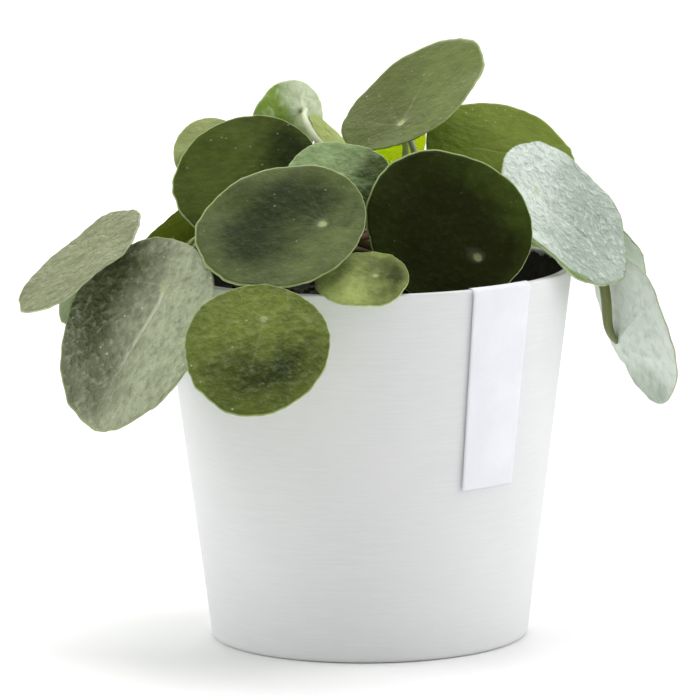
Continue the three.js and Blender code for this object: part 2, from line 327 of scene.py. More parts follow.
def relief_at(reach, angle, x, y, seed, midrib):
    """Height of the blade's relief in millimetres: quilting, vein grooves and soft waves."""
    turn = vein_pairs * vein_turn(reach, angle)
    aside = reach * abs(math.sin(turn)) / vein_pairs
    inside = ease(reach, 0.04, 0.2) * (1 - ease(reach, 0.75, 1.0))
    groove = -groove_depth * math.exp(-((aside / groove_width) ** 2))
    fold = -math.exp(-abs(angle * reach) / fold_width) * ease(reach, 0.0, 0.12) * (1.1 - reach)
    quilt = quilt_height * math.sin(turn) ** 2 * reach * (1.1 - reach)
    wave = wave_height * noise_at(x, y, wave_size, seed) * ease(reach, 0.0, 0.3)
    bubble = sum(height * noise_at(x, y, size, seed + more) for height, size, more in bubbles)
    margin = sum(
        height * round_the_edge(angle, pace, seed + more) * reach**power
        for height, pace, more, power in margin_waves)
    return (groove + bubble) * inside + fold * (least_fold + midrib) + quilt + wave + margin


print("the waves of a blade are up to", wave_height, "mm high before its own share")

# %% The upper face of a blade in its own flat frame
fewest_spokes = 20


def blade_frame(number):
    """The blade's upper face as a bmesh, and the matrix of its hub, tip and upward directions."""
    blade = joined_copy(f"leaf_{number:02d}")
    stalk = [corner.co for corner in nodes[f"stalk_{number:02d}"].data.vertices]
    hubs = [vert for vert in blade.verts if len(vert.link_edges) > fewest_spokes]
    hubs.sort(key=lambda vert: min((vert.co - point).length for point in stalk))
    hub = hubs[1].co.copy()
    up = (hub - hubs[0].co).normalized()
    away = [face for face in blade.faces if face.normal.dot(up) < 0.6]
    bmesh.ops.delete(blade, geom=away, context="FACES")
    flat = [vert.co - hub - up * (vert.co - hub).dot(up) for vert in blade.verts]
    along = max(flat, key=lambda offset: offset.length).normalized()
    across = up.cross(along)
    place = Matrix((along, across, up)).transposed().to_4x4()
    place.translation = hub
    bmesh.ops.transform(blade, matrix=place.inverted(), verts=blade.verts)
    join_pairs(blade)
    return blade, place


def outline_reach(blade):
    """How far the outline lies from the hub in each direction, as sorted pairs."""
    rim = [vert.co for vert in blade.verts if vert.is_boundary]
    around = sorted((math.atan2(point.y, point.x), math.hypot(point.x, point.y)) for point in rim)
    first, last = around[0], around[-1]
    return [(last[0] - math.tau, last[1]), *around, (first[0] + math.tau, first[1])]


def reach_of(around, x, y):
    """0 at the hub and 1 on the outline."""
    angle = math.atan2(y, x)
    after = bisect_left(around, (angle, 0))
    (start, near), (end, far) = around[after - 1], around[after]
    edge = near + (far - near) * (angle - start) / max(end - start, 1e-9)
    return min(1.0, math.hypot(x, y) / edge), angle


# %% A whole blade
blade_thickness = 0.65 * mm
blade_levels = 3
rim_lost = 1.011
seed_step = 3.7
navel_depth, navel_width = 0.4, 3.2
# A nibble of the outline has a depth, a pace, a seed, and a power that keeps it near the edge.
nibbles = ((0.02, 4, 2.3, 3), (0.012, 11, 1.7, 8))


def shape_blade(blade, number, tone):
    """Gives a fine flat blade its relief, its navel over the stalk, and its nibbled outline."""
    around = outline_reach(blade)
    pairs = {}
    for vert in blade.verts:
        reach, angle = reach_of(around, vert.co.x, vert.co.y)
        pairs[vert.index] = (reach * math.cos(angle), reach * math.sin(angle))
        x, y = vert.co.x / mm, vert.co.y / mm
        relief = relief_at(reach, angle, x, y, number * seed_step, tone.midrib)
        navel = navel_depth * (1 - ease(math.hypot(x, y), 0.0, navel_width))
        vert.co.z += (tone.relief * relief - navel) * mm
        vert.co.xy *= 1 + sum(
            depth * round_the_edge(angle, pace, number * step) * reach**power
            for depth, pace, step, power in nibbles)
    write_map(blade, "spread", pairs)


def grow_blade(number, blade, place, skins, tone):
    """A finished blade in place of the frame's plain one."""
    blade = make_finer(blade, blade_levels)
    bmesh.ops.scale(blade, vec=(rim_lost, rim_lost, 1), verts=blade.verts)
    shape_blade(blade, number, tone)
    bmesh.ops.transform(blade, matrix=place, verts=blade.verts)
    name = f"blade_{number:02d}"
    piece = finish_piece(blade, name, skins, [f"leaf_{number:02d}"])
    flesh = piece.modifiers.new("flesh", "SOLIDIFY")
    flesh.thickness = blade_thickness
    flesh.offset = -1
    flesh.material_offset = 1
    flesh.material_offset_rim = 2


print("a blade is", round(blade_thickness / mm, 2), "mm thick")

# %% [markdown]
# ## The blades' finish
#
# The skin is waxy: a deep green that turns silvery where it faces the sky, a painted reflection
# of the sky, paler veins, a pale dot over the stalk, a thin pale margin with a painted highlight
# along it, and a scatter of tiny white specks that also stand for painted glints. The crumple
# is painted darker in its dips and lighter on its tops, a painted shade and highlight. The
# silvery part lies on another side of each blade, so a blade's finish is told where its pale side
# is. The underside is paler and duller, with its veins standing out and a painted sheen of its
# own, and the rim is a pale line. One finish for all blades would be shorter, but no two blades
# of this plant catch the light alike.


# %% The veins as part of a finish
def vein_lines(skin, width):
    """How near a point is to a main vein, and how far out it lies, from the blade's own map."""
    spread = skin.add("ShaderNodeUVMap", uv_map="spread").outputs[0]
    x, y, _ = skin.parts(spread)
    angle = skin.calc("ABSOLUTE", skin.calc("ARCTAN2", y, x))
    length = skin.add("ShaderNodeVectorMath", operation="LENGTH")
    skin.feed(length.inputs[0], spread)
    reach = length.outputs["Value"]
    bend = skin.calc("MULTIPLY", skin.calc("MULTIPLY", reach, vein_bend), skin.calc("SINE", angle))
    turn = skin.calc("MULTIPLY", skin.calc("ADD", angle, bend), vein_pairs)
    aside = skin.calc("MULTIPLY", reach, skin.calc("ABSOLUTE", skin.calc("SINE", turn)))
    line = skin.calc("MULTIPLY", skin.span(aside, width, width * 0.25), skin.span(reach, 0.9, 0.3))
    midrib = skin.span(skin.calc("MULTIPLY", angle, reach), 0.022, 0.006)
    return line, skin.calc("MULTIPLY", midrib, skin.span(reach, 0.8, 0.15)), reach


# %% The two tones of a blade, and the light through its flesh
def hub_centred(skin, hub):
    """The place of a point as seen from the hub, and soft patches for a ragged change."""
    here = skin.moved(skin.place, tuple(-part for part in hub))
    return here, skin.noise(here, 60, 5.0, 0.8)


def towards(skin, here, way):
    """How far a point lies from the hub along a direction, in millimetres."""
    facing = skin.add("ShaderNodeVectorMath", operation="DOT_PRODUCT")
    skin.feed(facing.inputs[0], here)
    facing.inputs[1].default_value = Vector(way) / mm
    return facing.outputs["Value"]


def tones_with_painted_sheen(skin, here, tone, patches):
    """The deep colour on one side of a blade and the pale one on the other, a ragged change
    between them. The pale side is partly the blade's own colour and partly a painted sheen
    where the blade catches the light."""
    drift = skin.calc("MULTIPLY_ADD", patches, 1.1 * tone.soft, towards(skin, here, tone.way))
    share = skin.span(drift, tone.start, tone.start + tone.soft)
    return skin.blend(share, tone.deep, tone.pale)


def let_light_through(material, share):
    """Lets some light scatter through the flesh of a young blade."""
    inputs = material.node_tree.nodes["Principled BSDF"].inputs
    inputs["Subsurface Weight"].default_value = share
    inputs["Subsurface Radius"].default_value = (1.0, 1.0, 0.3)
    inputs["Subsurface Scale"].default_value = 3 * share * mm


# %% The layers of colour on a blade's upper side
# The margin line is the pale edge with a painted highlight along it, and the speck colour also
# paints glints.
margin_line, eye_colour, speck_colour = (
    paint(164, 180, 122), paint(176, 188, 128), paint(215, 222, 200))


def crumpled(skin, colour, tone, rough, light, clouds, crumple):
    """Darker clouds, painted shade in the crumple's dips and a painted highlight on its tops."""
    dark = mixed(tone.deep, black, 0.45)
    colour = skin.blend(skin.calc("MULTIPLY", clouds, 0.26), colour, dark)
    painted_dip_shade = skin.span(crumple, 0.55, 0.3, 0.0, 0.06 + 0.2 * rough)
    colour = skin.blend(painted_dip_shade, colour, tone.deep)
    painted_top_highlight = skin.span(crumple, 0.5, 0.72, 0.0, 0.09 * tone.relief + 0.25 * rough)
    return skin.blend(painted_top_highlight, colour, light)


def veined(skin, colour, tone, light, line, midrib):
    """Faint paler veins, and a midrib that is as clear as the tone says."""
    colour = skin.blend(skin.calc("MULTIPLY", line, 0.25 * tone.midrib), colour, light)
    ridge = mixed(tone.pale, cream, 0.35)
    return skin.blend(skin.calc("MULTIPLY", midrib, tone.midrib), colour, ridge)


def edged(skin, colour, tone, here, reach):
    """A strip along one side of the margin, if there is one, and a thin pale line all round,
    the pale edge with a painted highlight along it.
    """
    if tone.strip:
        side = skin.span(towards(skin, here, tone.strip[1]), 4, 8)
        strip = skin.calc("MULTIPLY", side, skin.span(reach, 0.91, 0.94))
        colour = skin.blend(strip, colour, tone.strip[0])
    return skin.blend(skin.span(reach, 0.982, 0.995, 0.0, 0.8), colour, margin_line)


def with_eye(skin, colour, tone, light, clouds, reach):
    """A soft glow and a pale eye over the stalk."""
    glow = skin.span(skin.calc("MULTIPLY_ADD", clouds, 0.03, reach), 0.15, 0.05, 0.0, 0.4)
    colour = skin.blend(skin.calc("MULTIPLY", glow, tone.eye), colour, light)
    return skin.blend(skin.span(reach, 0.07, 0.035, 0.0, 0.75 * tone.eye), colour, eye_colour)


# %% The waxy upper skin
def upper_skin(name, tone, hub, wax):
    """A blade's upper skin: deep green, paler towards one side with a painted sheen, and paler
    towards the margin.
    """
    skin = Finish(name)
    here, patches = hub_centred(skin, hub)
    line, midrib, reach = vein_lines(skin, 0.05)
    clouds = skin.span(skin.noise(here, 170, 6.0), 0.36, 0.68)
    crumple = skin.noise(here, 420, 3.0)
    rough = max(0.0, tone.relief - 0.7)
    light = mixed(tone.pale, cream, 0.15)
    outer = skin.span(skin.calc("MULTIPLY_ADD", patches, 0.5, reach), 0.85, 1.25, 0.0, tone.edge)
    colour = tones_with_painted_sheen(skin, here, tone, patches)
    colour = skin.blend(outer, colour, mixed(tone.deep, tone.pale, 0.75))
    colour = crumpled(skin, colour, tone, rough, light, clouds, crumple)
    colour = veined(skin, colour, tone, light, line, midrib)
    colour = edged(skin, colour, tone, here, reach)
    colour = with_eye(skin, colour, tone, light, clouds, reach)
    # Tiny white specks, which also stand for painted glints on the finest bumps.
    crowd = skin.span(skin.noise(here, 75, 2.0), 0.42, 0.6, 0.15 * tone.specks, tone.specks)
    speck = skin.calc("MULTIPLY", skin.grains(here, 420, 0.28, 0.22, 0.08), crowd)
    colour = skin.blend(speck, colour, mixed(light, speck_colour, 0.5))
    normal = skin.bump(crumple, 0.0006 + 0.003 * rough, 0.8)
    normal = skin.bump(skin.noise(here, 1000, 4.0), 0.0002, 0.5, normal)
    normal = skin.bump(skin.calc("SUBTRACT", speck, line), 0.0001, 0.5, normal)
    skin.shader.inputs["Specular IOR Level"].default_value = wax * tone.gloss
    return skin.done(colour, normal, skin.span(patches, 0.3, 0.7, 0.36, 0.5))


# %% The duller underside
def under_skin(name, tone, hub):
    """The underside: a soft colour that turns into another as a painted sheen, painted shade and
    highlight on its crumple, and faint raised veins.
    """
    skin = Finish(name, 0.5)
    here, patches = hub_centred(skin, hub)
    line, midrib, reach = vein_lines(skin, 0.08)
    crumple = skin.noise(here, 240, 5.0, 0.6)
    dark, light = mixed(tone.deep, black, 0.4), mixed(tone.pale, ivory, 0.3)
    colour = tones_with_painted_sheen(skin, here, tone, patches)
    # Painted shade in the dips of the crumple and a painted highlight on its tops.
    colour = skin.blend(skin.span(crumple, 0.55, 0.3, 0.0, 0.2), colour, dark)
    colour = skin.blend(skin.span(crumple, 0.5, 0.75, 0.0, 0.35), colour, light)
    colour = skin.blend(skin.calc("MULTIPLY", line, 0.5 * tone.midrib), colour, light)
    colour = skin.blend(skin.calc("MULTIPLY", midrib, tone.midrib), colour, light)
    colour = skin.blend(skin.span(reach, 0.1, 0.04, 0.0, 0.3), colour, light)
    veins = skin.calc("MULTIPLY", line, min(1.0, 4 * tone.midrib))
    raised = skin.bump(skin.calc("MULTIPLY_ADD", crumple, 3.0, veins), 0.0003, 0.6)
    skin.shader.inputs["Specular IOR Level"].default_value = 0.15
    return skin.done(colour, skin.bump(skin.noise(here, 1400, 3.0), 0.0001, 0.5, raised))


# %% The pale rims
def rim_skin(name, colour):
    """The rim: the pale cut edge of the blade."""
    skin = Finish(name, 0.45)
    cloud = skin.noise(skin.place, 200, 3.0)
    return skin.done(
        skin.blend(skin.span(cloud, 0.35, 0.65), mixed(colour, black, 0.3), colour))


rims = {
    "blade_silvery": rim_skin("rim_silvery", paint(172, 184, 146)),
    "blade_dark": rim_skin("rim_dark", paint(146, 162, 104)),
    "blade_bright": rim_skin("rim_bright", paint(172, 190, 110)),
    "blade_green": rim_skin("rim_green", paint(150, 166, 104)),
}
print("rims:", len(rims))

# %% [markdown]
# ## What each blade looks like
#
# Young blades are bright, old ones deep, and those that face the window are silvery, a painted
# reflection of the window. A tone holds a blade's deep colour, its pale colour, the direction of
# its pale side, which is partly a painted sheen, and how many millimetres from the hub the pale
# part starts. It may also say how strong the relief is, how much of the pale colour shows along
# the margin, how clear the midrib is, how soft the change between the colours is, the colour and
# side of a strip along the margin, how clear the pale eye over the stalk is, how many specks
# there are, and how much of the usual gloss it has.

# %% A blade's tone
Tone = namedtuple(
    "Tone", "deep pale way start relief edge midrib soft strip eye specks gloss",
    defaults=(0.7, 0.5, 0.1, 22, None, 0.7, 0.4, 1))


def tone(deep, pale, way, start, **more):
    """A tone whose colours are given as they look on a screen."""
    return Tone(paint(*deep), paint(*pale), Vector(way).normalized(), start, **more)


print("a tone holds:", ", ".join(Tone._fields))

# %% The tones of the blades in front
# Blades 1, 3, 14 and 17 are silvery on their pale side, a painted reflection of the bright room.
# The bright yellow-green of blades 7, 9 and 12 is partly a painted glow of the light that shines
# through them.
blade_tones = {
    1: tone((94, 101, 60), (136, 143, 104), (0.6, 0, -1), -12, relief=1.3, eye=0, specks=0.7),
    2: tone((110, 128, 80), (138, 150, 112), (0, 0, 1), -10, relief=0.8),
    3: tone((80, 86, 54), (170, 178, 146), (1, 0, -0.5), -5, relief=1.5, edge=0.3, midrib=0.9,
            specks=0.9),
    4: tone((42, 52, 6), (116, 130, 56), (-0.2, 0, 1), -9, relief=1.1, edge=0.8, eye=0.6,
            specks=0.8),
    5: tone((36, 45, 10), (98, 110, 62), (0.8, 0, -1), 0.5, relief=0.6, edge=0.9, midrib=0.0,
            eye=0.8),
    6: tone((28, 36, 6), (74, 86, 34), (-1, 0, 0.2), 6, relief=0.4, edge=0.6, midrib=0.0,
            eye=0, gloss=0.4),
    7: tone((134, 144, 86), (152, 162, 104), (-1, 0, 0), -5, relief=0.5),
    8: tone((112, 138, 70), (168, 182, 150), (1, 0, 1), -4, relief=0.5),
    9: tone((144, 158, 78), (156, 170, 90), (1, 0, 0), 0, relief=0.5, midrib=0.0),
    10: tone((44, 60, 12), (142, 164, 112), (-1, 0, 0.6), -3, relief=0.9, edge=0.2, midrib=0.6),
    11: tone((90, 100, 52), (110, 122, 68), (1, 0, -0.4), 6, relief=0.4, edge=0.4, eye=1,
             gloss=0.6),
    12: tone((144, 178, 34), (164, 194, 54), (1, 0, 0), 0, relief=0.5),
    13: tone((94, 112, 18), (108, 123, 44), (1, 0, 0.5), 8, edge=0.5, eye=0, gloss=0.5),
    14: tone((166, 180, 166), (216, 226, 216), (-1, 0, 0.2), -8, relief=2.2, edge=0.2,
             midrib=0.7, strip=(paint(120, 146, 80), (-0.75, 0, -0.66)), specks=0.2),
    15: tone((29, 33, 9), (62, 76, 26), (1, 0, 0.7), 19, relief=0.3, edge=0.3, midrib=0.0,
             eye=0.4, specks=0.08, gloss=0.3),
    16: tone((52, 62, 12), (164, 178, 104), (-1, 0, 0.2), 3, relief=0.8, edge=0.5, specks=1,
             gloss=0.4),
    17: tone((158, 174, 152), (200, 214, 202), (0.3, 0, 1), -20, relief=1.4, edge=0.3),
    18: tone((120, 132, 100), (150, 160, 130), (1, 0, 1), 0, edge=0.4),
    19: tone((56, 65, 10), (68, 78, 22), (-1, 0, 1), 2, edge=0.3, midrib=0.0, gloss=0),
}
print("blades in front:", len(blade_tones))

# %% The tones at the back and underneath
back_tones = [
    tone((68, 84, 34), (104, 120, 70), (0.5, 0, 1), 4, relief=1.0, edge=0.6),
    tone((56, 72, 26), (96, 112, 58), (-0.5, 0, 1), 8, relief=0.9, edge=0.6),
    tone((80, 98, 42), (122, 136, 88), (0.2, 0.5, 1), 0, relief=1.1),
]
# Blade 8's silvery side is a painted sheen, and blade 12's underside is painted nearly as bright
# as the paint allows, a painted glow of the light shining through it.
under_tones = {
    8: tone((142, 170, 74), (224, 234, 214), (1, 0, 0.42), -2.8, midrib=0.0, soft=6),
    12: tone((186, 236, 84), (200, 244, 110), (1, 0, 0), 0),
    17: tone((152, 169, 146), (222, 232, 220), (0.2, 0, 1), -12),
    18: tone((206, 214, 198), (226, 232, 222), (1, 0, 1), -14),
}
plain_under = {
    "blade_silvery": tone((148, 166, 122), (166, 182, 142), (1, 0, 1), 0),
    "blade_dark": tone((104, 126, 60), (122, 144, 76), (1, 0, 1), 0),
    "blade_bright": tone((140, 168, 70), (158, 184, 92), (1, 0, 1), 0),
    "blade_green": tone((122, 146, 78), (142, 162, 96), (1, 0, 1), 0),
}
backlit = {7: 0.3, 8: 0.4, 9: 0.4, 12: 1.0, 13: 0.3, 16: 0.3}
waxy = {"blade_silvery": 0.2, "blade_bright": 0.12, "blade_green": 0.1, "blade_dark": 0.07}
print("undersides of their own:", len(under_tones))

# %% Growing every blade
slots = {part["node"]: part["material_slot"] for part in frame["record"]["subparts"]}
blade_places = {}
for number in leaf_numbers:
    own = blade_tones.get(number) or back_tones[number % len(back_tones)]
    slot = slots[f"leaf_{number:02d}"]
    blade, place = blade_frame(number)
    blade_places[number] = place
    upper = upper_skin(f"skin_{number:02d}", own, place.translation, waxy[slot])
    below = under_tones.get(number) or plain_under[slot]
    under = under_skin(f"underside_{number:02d}", below, place.translation)
    if number in backlit:
        let_light_through(upper, backlit[number])
        let_light_through(under, backlit[number])
    grow_blade(number, blade, place, [upper, under, rims[slot]], own)
print("blades grown:", len(blade_places))

# %% [markdown]
# ## The stalks
#
# Each stalk is a round, juicy rod, a little thicker where it leaves the trunk and slimmer below
# the blade, where it widens again into the hub. A curve with a round bevel would give such a
# rod, but the frame's stalk already has the right course. It has six sides and stops a hair
# short of what it grows from, so a finer copy gets the round section, the taper, and the last
# bit of length at both ends, and really joins the trunk and the blade.

# %% The skin of a stalk
def stalk_skin(name, root_colour, hub_colour):
    """A stalk's skin: one colour at the trunk, another below the blade, and long fine streaks."""
    skin = Finish(name, 0.42)
    spread = skin.add("ShaderNodeUVMap", uv_map="along").outputs[0]
    from_root = skin.parts(spread)[0]
    drift = skin.calc("MULTIPLY_ADD", skin.noise(skin.place, 160, 3.0), 0.3, from_root)
    colour = skin.blend(skin.span(drift, 0.3, 1.0), root_colour, hub_colour)
    streaks = skin.noise(skin.moved(spread, scale=(3, 40, 1)), 1.0, 4.0)
    darker = mixed(hub_colour, black, 0.3)
    colour = skin.blend(skin.span(streaks, 0.45, 0.75, 0.0, 0.45), colour, darker)
    return skin.done(colour, skin.bump(streaks, 0.0002, 0.6))


olive_stalk = stalk_skin("stalk_olive", paint(120, 100, 60), paint(134, 140, 78))
pale_stalk = stalk_skin("stalk_pale", paint(150, 150, 96), paint(178, 184, 132))
white_stalk = stalk_skin("stalk_white", paint(168, 172, 124), paint(206, 214, 182))
red_stalk = stalk_skin("stalk_reddish", paint(132, 82, 58), paint(140, 112, 66))
dark_stalk = stalk_skin("stalk_dark", paint(88, 86, 40), paint(104, 112, 54))
stalk_skins = {
    4: red_stalk, 5: red_stalk, 16: red_stalk, 15: dark_stalk, 17: dark_stalk,
    8: white_stalk, 11: white_stalk, 9: pale_stalk, 12: pale_stalk, 14: pale_stalk,
}
print("stalks that aren't olive:", len(stalk_skins))

# %% Where a stalk grows from
trunk_points = [corner.co.copy() for corner in nodes["trunk"].data.vertices]


def root_of(stalk):
    """The stalk's point nearest to the trunk, and the level direction into the trunk."""
    nearest = min(stalk.verts, key=lambda vert: min((vert.co - p).length for p in trunk_points))
    root = nearest.co.copy()
    inward = min(trunk_points, key=lambda point: (point - root).length) - root
    return root, Vector((inward.x, inward.y, 0)).normalized()


# %% Growing every stalk
stalk_levels = 2
hub_flare, root_flare = 5 * mm, 6 * mm
into_hub, into_trunk = 0.25 * mm, 1.6 * mm
# Blade 17 hangs on a stalk that is this many millimetres thicker all round.
stout = {17: 0.75}


def grow_stalk(number):
    """A round stalk in place of the frame's six-sided one."""
    hub, up = blade_places[number].translation, blade_places[number].to_3x3().col[2]
    stalk = joined_copy(f"stalk_{number:02d}")
    root, inward = root_of(stalk)
    join_pairs(stalk)
    stalk = make_finer(stalk, stalk_levels)
    stalk.normal_update()
    pairs = {}
    for vert in stalk.verts:
        to_hub, to_root = (vert.co - hub).length, (vert.co - root).length
        share = to_root / (to_root + to_hub)
        around = math.atan2(vert.normal.dot(inward), vert.normal.z)
        pairs[vert.index] = (share, abs(around) / math.pi)
        at_hub = 1 - ease(to_hub, 1 * mm, hub_flare)
        at_root = 1 - ease(to_root, 1 * mm, root_flare)
        swell = 0.25 - 0.2 * share + 0.55 * at_hub + 0.5 * at_root
        swell += stout.get(number, 0) * (1 - at_hub)
        vert.co += vert.normal * swell * mm
        vert.co += up * at_hub * into_hub + inward * at_root * into_trunk
    write_map(stalk, "along", pairs)
    skin = stalk_skins.get(number, olive_stalk)
    return finish_piece(stalk, f"stalk_of_{number:02d}", [skin], [f"stalk_{number:02d}"])


stalks = [grow_stalk(number) for number in leaf_numbers]
print("stalks grown:", len(stalks))

# %% [markdown]
# ## The trunk and the soil
#
# The trunk is a short woody stem, ringed with the scars of fallen stalks. The soil is dark,
# loose and crumbly. A grid would leave gaps along the round wall, so the surface is spun from a
# short line, which fills the pot exactly, and roughened with noise. The crumbs on it are small
# squashed balls of few faces, scattered with a fixed seed.


# %% The trunk
def trunk_bark():
    """Brown bark, greener towards the top, with dark scars."""
    bark = Finish("trunk_bark", 0.75)
    up = bark.parts(bark.place)[2]
    height = bark.calc("MULTIPLY_ADD", bark.noise(bark.place, 180, 4.0), 0.02, up)
    colour = bark.blend(bark.span(height, 0.14, 0.18), paint(96, 76, 50), paint(112, 116, 62))
    scars = bark.noise(bark.moved(bark.place, scale=(1, 1, 4)), 160, 5.0)
    colour = bark.blend(bark.span(scars, 0.5, 0.68, 0.0, 0.7), colour, paint(58, 42, 28))
    return bark.done(colour, bark.bump(scars, 0.0008, 0.9))


trunk = make_finer(joined_copy("trunk"), 2)
trunk.normal_update()
for vert in trunk.verts:
    knob = noise.noise(Vector((vert.co.x * 220, vert.co.y * 220, vert.co.z * 420)))
    vert.co += vert.normal * (0.3 + 0.6 * knob) * mm
finish_piece(trunk, "trunk_with_scars", [trunk_bark()], ["trunk"])

# %% The soil's finish
def soil_skin():
    """Dark damp peat with lighter fibres and grit."""
    peat = Finish("potting_soil", 0.9)
    clods = peat.noise(peat.place, 240, 6.0)
    colour = peat.blend(peat.span(clods, 0.35, 0.7), paint(30, 24, 18), paint(66, 52, 38))
    grit = peat.grains(peat.place, 420, 0.14, 0.3, 0.2, 0.7)
    colour = peat.blend(grit, colour, paint(140, 122, 96))
    return peat.done(colour, peat.bump(clods, 0.002, 1.0))


peat = soil_skin()
print("soil finish:", peat.name)

# %% The soil's surface, spun, and closed below
soil_low, soil_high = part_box("soil")
soil_radius = soil_high.x
soil_rim_height = soil_high.z - 6 * mm
mound_height = 2.6
soil_rings, soil_spokes = 48, 144
foot_share = 0.75


def soil_height(x, y):
    """Height of the soil's surface: a low mound with large and small clods."""
    out = math.hypot(x, y) / soil_radius
    clods = 1.5 * noise.noise(Vector((x * 120, y * 120, 2)))
    clods += 0.7 * noise.noise(Vector((x * 420, y * 420, 5)))
    return soil_rim_height + (mound_height * (1 - out * out) + clods) * mm


soil = bmesh.new()
ring = [
    soil.verts.new((soil_radius * step / soil_rings, 0, 0)) for step in range(soil_rings + 1)]
line = [soil.edges.new(pair) for pair in zip(ring, ring[1:])]
bmesh.ops.spin(
    soil, geom=ring + line, cent=(0, 0, 0), axis=(0, 0, 1), angle=math.tau, steps=soil_spokes,
    use_merge=True)
bmesh.ops.remove_doubles(soil, verts=soil.verts, dist=2 * weld_distance)
for vert in soil.verts:
    vert.co.z = soil_height(vert.co.x, vert.co.y)
bmesh.ops.recalc_face_normals(soil, faces=soil.faces)
if sum(face.normal.z for face in soil.faces) < 0:
    bmesh.ops.reverse_faces(soil, faces=soil.faces)
surface = [edge for edge in soil.edges if edge.is_boundary]
skirt = bmesh.ops.extrude_edge_only(soil, edges=surface)
low = [part for part in skirt["geom"] if isinstance(part, bmesh.types.BMVert)]
for vert in low:
    vert.co = Vector((vert.co.x * foot_share, vert.co.y * foot_share, soil_low.z + 1 * mm))
bmesh.ops.contextual_create(soil, geom=low)
finish_piece(soil, "soil_surface", [peat], ["soil"])
print("soil surface at", round(soil_rim_height / mm, 1), "mm along the wall")

# %% Crumbs on the soil
random.seed(11)
crumb_count = 420
crumb_reach = 0.96
crumbs = bmesh.new()
for _ in range(crumb_count):
    distance = soil_radius * crumb_reach * math.sqrt(random.random())
    angle = random.uniform(0, math.tau)
    x, y = distance * math.cos(angle), distance * math.sin(angle)
    size = random.uniform(0.5, 1.7) * mm
    spot = Matrix.Translation((x, y, soil_height(x, y) + 0.25 * size))
    turn = Matrix.Rotation(random.uniform(0, 3), 4, (random.random(), random.random(), 1))
    squash = Matrix.Diagonal((1, random.uniform(0.5, 0.9), random.uniform(0.5, 0.8), 1))
    bmesh.ops.create_icosphere(
        crumbs, subdivisions=1, radius=size, matrix=spot @ turn @ squash)
finish_piece(crumbs, "soil_crumbs", [peat])
print("crumbs:", crumb_count)

# %% [markdown]
# ## The pot
#
# The pot is one moulded wall that widens evenly from foot to rim, with a small rounding at the
# foot and a thin, slightly eased lip. A bevel could ease the corners, but a curve drawn into
# each corner of the profile before it is spun round the axis keeps the shading of the wall
# clean right down to the floor. The surface has fine, short, level streaks, which a noise
# texture squeezed in height gives without any seam. The inner wall has a finish of its own,
# with a painted shade that darkens it below the lip, where the pot's own shadow lies.

# %% The pot's finish
def pot_finish():
    """Light grey moulded wall with fine level streaks and a soft satin gloss."""
    wall = Finish("pot_wall", 0.5)
    long_streaks = wall.noise(wall.moved(wall.place, scale=(75, 75, 1600)), 1.0, 3.0)
    short_streaks = wall.noise(wall.moved(wall.place, scale=(240, 240, 2600)), 1.0, 4.0)
    cloud = wall.noise(wall.place, 22, 3.0)
    colour = wall.blend(
        wall.span(long_streaks, 0.35, 0.7), paint(218, 219, 220), paint(222, 223, 223))
    colour = wall.blend(
        wall.span(short_streaks, 0.55, 0.75, 0.0, 0.4), colour, paint(211, 212, 214))
    colour = wall.blend(wall.span(cloud, 0.4, 0.65, 0.0, 0.3), colour, paint(226, 226, 226))
    fine = wall.bump(long_streaks, 0.0001, 0.25)
    normal = wall.bump(short_streaks, 0.0001, 0.2, fine)
    return wall.done(colour, normal, wall.span(long_streaks, 0.3, 0.7, 0.42, 0.58))


print("pot finish: level streaks, long and short")

# %% The finish inside the pot
rim_radius, pot_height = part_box("pot")[1].x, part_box("pot")[1].z


def inner_finish():
    """The inner wall: grey at the lip, and painted dark further down, a painted shade for the
    shadow inside the pot.
    """
    wall = Finish("pot_inner_wall", 0.75)
    blotches = wall.noise(wall.place, 260, 5.0)
    height = wall.calc("MULTIPLY_ADD", blotches, 0.006, wall.parts(wall.place)[2])
    # Painted shade: the wall below the lip is painted dark where the pot's shadow falls inside.
    painted_wall_shade = wall.blend(wall.span(blotches, 0.35, 0.65), paint(26, 24, 21), paint(44, 40, 35))
    share = wall.span(height, pot_height + 2.5 * mm, pot_height + 1 * mm)
    return wall.done(wall.blend(share, paint(206, 207, 208), painted_wall_shade), wall.bump(blotches, 0.0002))


print("the inner wall is dark from just below", round(pot_height / mm), "mm")

# %% The pot's profile
foot_radius = 57.6 * mm
pot_wall, pot_floor = 3 * mm, 4 * mm
slope = (rim_radius - foot_radius) / pot_height
corner_steps = 6
shoulder = 1.4
# A corner has its distance from the axis, its height, and the size of its rounding in mm.
corners = [
    (0, 0, 0), (foot_radius, 0, 2.4), (rim_radius, pot_height, 0.9),
    (rim_radius - pot_wall, pot_height, 0.9),
    (foot_radius + slope * pot_floor - pot_wall, pot_floor, 2.0), (0, pot_floor, 0),
]
profile = [Vector((0, 0))]
for before, (x, z, width), after in zip(corners, corners[1:], corners[2:]):
    corner = Vector((x, z))
    way_in = (Vector(before[:2]) - corner).normalized() * width * mm
    way_out = (Vector(after[:2]) - corner).normalized() * width * mm
    profile.append(corner + shoulder * way_in)
    for step in range(corner_steps + 1):
        share = step / corner_steps
        profile.append(corner + (1 - share) ** 2 * way_in + share**2 * way_out)
    profile.append(corner + shoulder * way_out)
profile.append(Vector((0, pot_floor)))
print("points in the profile:", len(profile))

